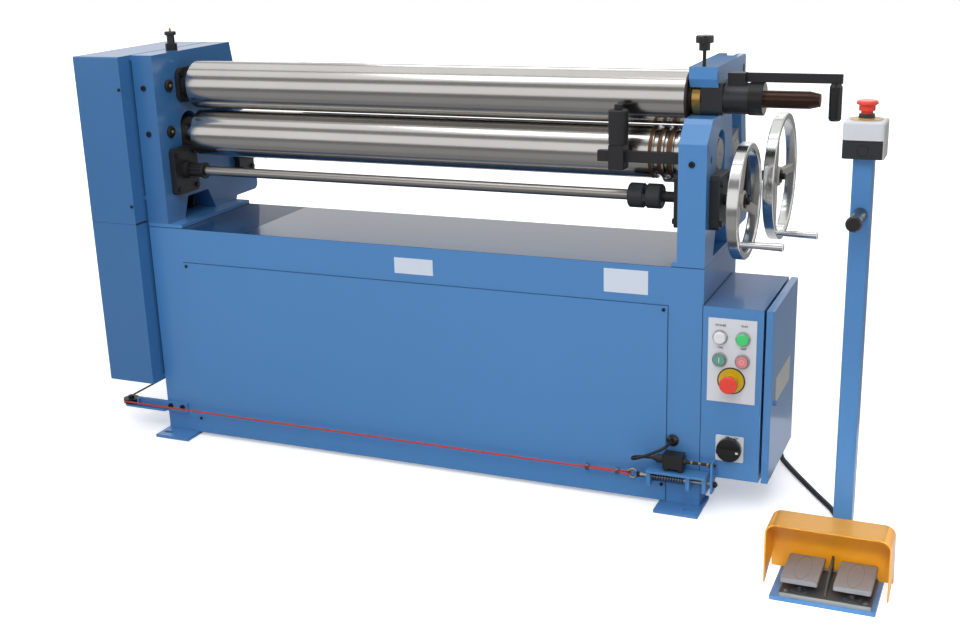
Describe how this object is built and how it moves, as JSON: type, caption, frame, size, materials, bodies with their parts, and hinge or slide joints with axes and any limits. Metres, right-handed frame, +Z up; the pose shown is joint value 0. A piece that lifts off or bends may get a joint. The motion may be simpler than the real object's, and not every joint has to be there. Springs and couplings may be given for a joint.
{
  "type": "powered slip roll machine",
  "caption": "Floor-standing powered slip roll: folded bench, end frames, three bending rolls, two handwheels, geared drive under a cover, control box and foot control.",
  "frame": {"origin": "on the floor, at the centre of the four slotted foot holes", "axes": "+X along the rolls to the operator's right, +Y from the operator to the back, +Z up"},
  "size_m": [2.076, 0.877, 1.069],
  "materials": {
    "blue_paint": "gloss",
    "ground_steel": "ground",
    "black_steel": "satin",
    "dark_iron": "machined",
    "brass": "turned",
    "chrome": "polished",
    "black_plastic": "gloss",
    "grey_plastic": "satin",
    "red_plastic": "gloss",
    "green_plastic": "gloss",
    "lamp_lens": "gloss",
    "white_plate": "satin",
    "zinc_steel": "zinc plated",
    "motor_grey": "painted",
    "yellow_guard": "satin",
    "cast_pedal": "cast",
    "red_rope": "satin",
    "black_rubber": "matte"
  },
  "bodies": {
    "machine": {"base_cabinet": "blue_paint", "front_access_panel": "blue_paint", "foot_plates": "blue_paint", "left_end_frame": "blue_paint", "right_end_frame": "blue_paint", "fasteners_and_pins": "black_steel", "top_left_bearing": "dark_iron", "worm_boxes": "ground_steel", "gear_cover": "blue_paint", "top_roll_carrier": "ground_steel", "top_roll_bush": "brass", "geared_motor": "motor_grey", "cone_bar": "black_steel", "lift_handle": "black_steel", "control_box": "blue_paint", "control_devices": "grey_plastic", "control_plates": "white_plate", "indicator_lamps": "lamp_lens", "tension_bracket": "zinc_steel", "limit_switch": "black_plastic", "rope_brackets": "blue_paint", "switch_cable": "black_rubber", "cable_glands": "black_plastic", "foot_stand": "blue_paint", "pedal_hood": "yellow_guard", "pedal_base": "dark_iron", "station_box": "grey_plastic", "pedal_conduit": "black_rubber"},
    "top_roll": {"top_roll": "ground_steel", "top_roll_gear": "dark_iron"},
    "lower_carriage": {"lower_roll_blocks": "dark_iron"},
    "lower_roll": {"lower_roll": "ground_steel", "lower_roll_gear": "dark_iron"},
    "rear_carriage": {"rear_roll_blocks": "dark_iron"},
    "rear_roll": {"rear_roll": "ground_steel"},
    "front_wheel": {"front_cross_shaft": "ground_steel", "front_handwheel": "chrome"},
    "rear_wheel": {"rear_cross_shaft": "ground_steel", "rear_handwheel": "chrome"},
    "front_crank": {"front_crank_grip": "chrome"},
    "rear_crank": {"rear_crank_grip": "chrome"},
    "pinion": {"drive_pinion": "dark_iron"},
    "motor_sprocket": {"drive_sprocket": "dark_iron"},
    "latch": {"top_latch": "ground_steel"},
    "latch_screw": {"latch_knob": "black_plastic"},
    "adjusting_knob": {"left_knob": "black_plastic"},
    "cone_stop": {"cone_block": "ground_steel"},
    "lift_grip": {"lift_handle_grip": "black_plastic"},
    "door": {"control_door": "blue_paint"},
    "isolator": {"isolator_knob": "black_plastic"},
    "start_button": {"start_button": "green_plastic"},
    "stop_button": {"stop_button": "red_plastic"},
    "panel_stop": {"panel_stop_button": "red_plastic"},
    "post_stop": {"post_stop_button": "red_plastic"},
    "left_pedal": {"left_pedal": "cast_pedal"},
    "right_pedal": {"right_pedal": "cast_pedal"},
    "rope_tension": {"rope_eye_bolt": "zinc_steel", "tension_spring": "zinc_steel", "trip_rope": "red_rope"},
    "rope_pulley": {"rope_pulley": "black_plastic"}
  },
  "joints": [
    {"name": "top_roll_spin", "type": "hinge", "parent": "machine", "child": "top_roll", "pos_m": [0, -0.028, 0.926], "axis": [1, 0, 0], "continuous": true},
    {"name": "lower_roll_lift", "type": "slide", "parent": "machine", "child": "lower_carriage", "axis": [0, 0, 1], "range_m": [-0.0035, 0.0035]},
    {"name": "lower_roll_spin", "type": "hinge", "parent": "lower_carriage", "child": "lower_roll", "pos_m": [0, -0.028, 0.802], "axis": [1, 0, 0], "continuous": true},
    {"name": "rear_roll_lift", "type": "slide", "parent": "machine", "child": "rear_carriage", "axis": [0, -0.2045, 0.9789], "range_m": [0, 0.09]},
    {"name": "rear_roll_spin", "type": "hinge", "parent": "rear_carriage", "child": "rear_roll", "pos_m": [0, 0.141, 0.775], "axis": [1, 0, 0], "continuous": true},
    {"name": "front_handwheel_turn", "type": "hinge", "parent": "machine", "child": "front_wheel", "pos_m": [0, -0.079, 0.711], "axis": [1, 0, 0], "range_deg": [-1260, 1260]},
    {"name": "rear_handwheel_turn", "type": "hinge", "parent": "machine", "child": "rear_wheel", "pos_m": [0, 0.213, 0.711], "axis": [1, 0, 0], "range_deg": [0, 10800]},
    {"name": "front_crank_spin", "type": "hinge", "parent": "front_wheel", "child": "front_crank", "pos_m": [0, -0.17356, 0.63712], "axis": [1, 0, 0], "continuous": true},
    {"name": "rear_crank_spin", "type": "hinge", "parent": "rear_wheel", "child": "rear_crank", "pos_m": [0, 0.13775, 0.59058], "axis": [1, 0, 0], "continuous": true},
    {"name": "pinion_spin", "type": "hinge", "parent": "machine", "child": "pinion", "pos_m": [0, 0.06263, 0.88374], "axis": [1, 0, 0], "continuous": true},
    {"name": "motor_sprocket_spin", "type": "hinge", "parent": "machine", "child": "motor_sprocket", "pos_m": [0, 0.06263, 0.33], "axis": [1, 0, 0], "continuous": true},
    {"name": "latch_hinge", "type": "hinge", "parent": "machine", "child": "latch", "pos_m": [0.704, 0.186, 0.966], "axis": [1, 0, 0], "range_deg": [-110, 0]},
    {"name": "latch_screw_turn", "type": "hinge", "parent": "latch", "child": "latch_screw", "pos_m": [0.703, -0.067, 0.998], "axis": [0, 0, 1], "range_deg": [0, 1080]},
    {"name": "adjusting_knob_turn", "type": "hinge", "parent": "machine", "child": "adjusting_knob", "pos_m": [-0.704, -0.03, 1.03], "axis": [0, 0, 1], "range_deg": [-720, 720]},
    {"name": "cone_stop_slide", "type": "slide", "parent": "machine", "child": "cone_stop", "axis": [1, 0, 0], "range_m": [-0.025, 0.12]},
    {"name": "lift_grip_spin", "type": "hinge", "parent": "machine", "child": "lift_grip", "pos_m": [0.9765, -0.028, 0.9615], "axis": [0, 0, 1], "continuous": true},
    {"name": "control_door_hinge", "type": "hinge", "parent": "machine", "child": "door", "pos_m": [0.8717, 0.134, 0.289], "axis": [0, 0, 1], "range_deg": [0, 110]},
    {"name": "isolator_turn", "type": "hinge", "parent": "machine", "child": "isolator", "pos_m": [0.8025, -0.165, 0.1615], "axis": [0, -1, 0], "range_deg": [0, 90]},
    {"name": "start_press", "type": "slide", "parent": "machine", "child": "start_button", "axis": [0, 1, 0], "range_m": [0, 0.004], "stiffness_N_per_m": 400, "springref_m": -0.003},
    {"name": "stop_press", "type": "slide", "parent": "machine", "child": "stop_button", "axis": [0, 1, 0], "range_m": [0, 0.004], "stiffness_N_per_m": 400, "springref_m": -0.003},
    {"name": "panel_stop_press", "type": "slide", "parent": "machine", "child": "panel_stop", "axis": [0, 1, 0], "range_m": [0, 0.005], "stiffness_N_per_m": 800, "springref_m": -0.004},
    {"name": "post_stop_press", "type": "slide", "parent": "machine", "child": "post_stop", "axis": [0, 0, -1], "range_m": [0, 0.005], "stiffness_N_per_m": 800, "springref_m": -0.004},
    {"name": "left_pedal_press", "type": "hinge", "parent": "machine", "child": "left_pedal", "pos_m": [1.0205, -0.403, 0.027], "axis": [1, 0, 0], "range_deg": [0, 8], "stiffness_Nm_per_rad": 8, "springref_deg": -5.73},
    {"name": "right_pedal_press", "type": "hinge", "parent": "machine", "child": "right_pedal", "pos_m": [1.123, -0.403, 0.027], "axis": [1, 0, 0], "range_deg": [0, 8], "stiffness_Nm_per_rad": 8, "springref_deg": -5.73},
    {"name": "rope_pull", "type": "slide", "parent": "machine", "child": "rope_tension", "axis": [-1, 0, 0], "range_m": [0, 0.006], "stiffness_N_per_m": 3000, "springref_m": -0.006, "deforming": ["tension_spring", "trip_rope"]},
    {"name": "pulley_spin", "type": "hinge", "parent": "machine", "child": "rope_pulley", "pos_m": [-0.855, -0.162, 0.076], "axis": [0, 0, 1], "continuous": true}
  ],
  "couplings": [
    {"joint": "lower_roll_spin", "follows": "top_roll_spin", "ratio": -1},
    {"joint": "pinion_spin", "follows": "top_roll_spin", "ratio": -1.5},
    {"joint": "motor_sprocket_spin", "follows": "top_roll_spin", "ratio": -2.5714},
    {"joint": "lower_roll_lift", "follows": "front_handwheel_turn", "m_per_rad": 0.00015915},
    {"joint": "rear_roll_lift", "follows": "rear_handwheel_turn", "m_per_rad": 0.00047746}
  ]
}
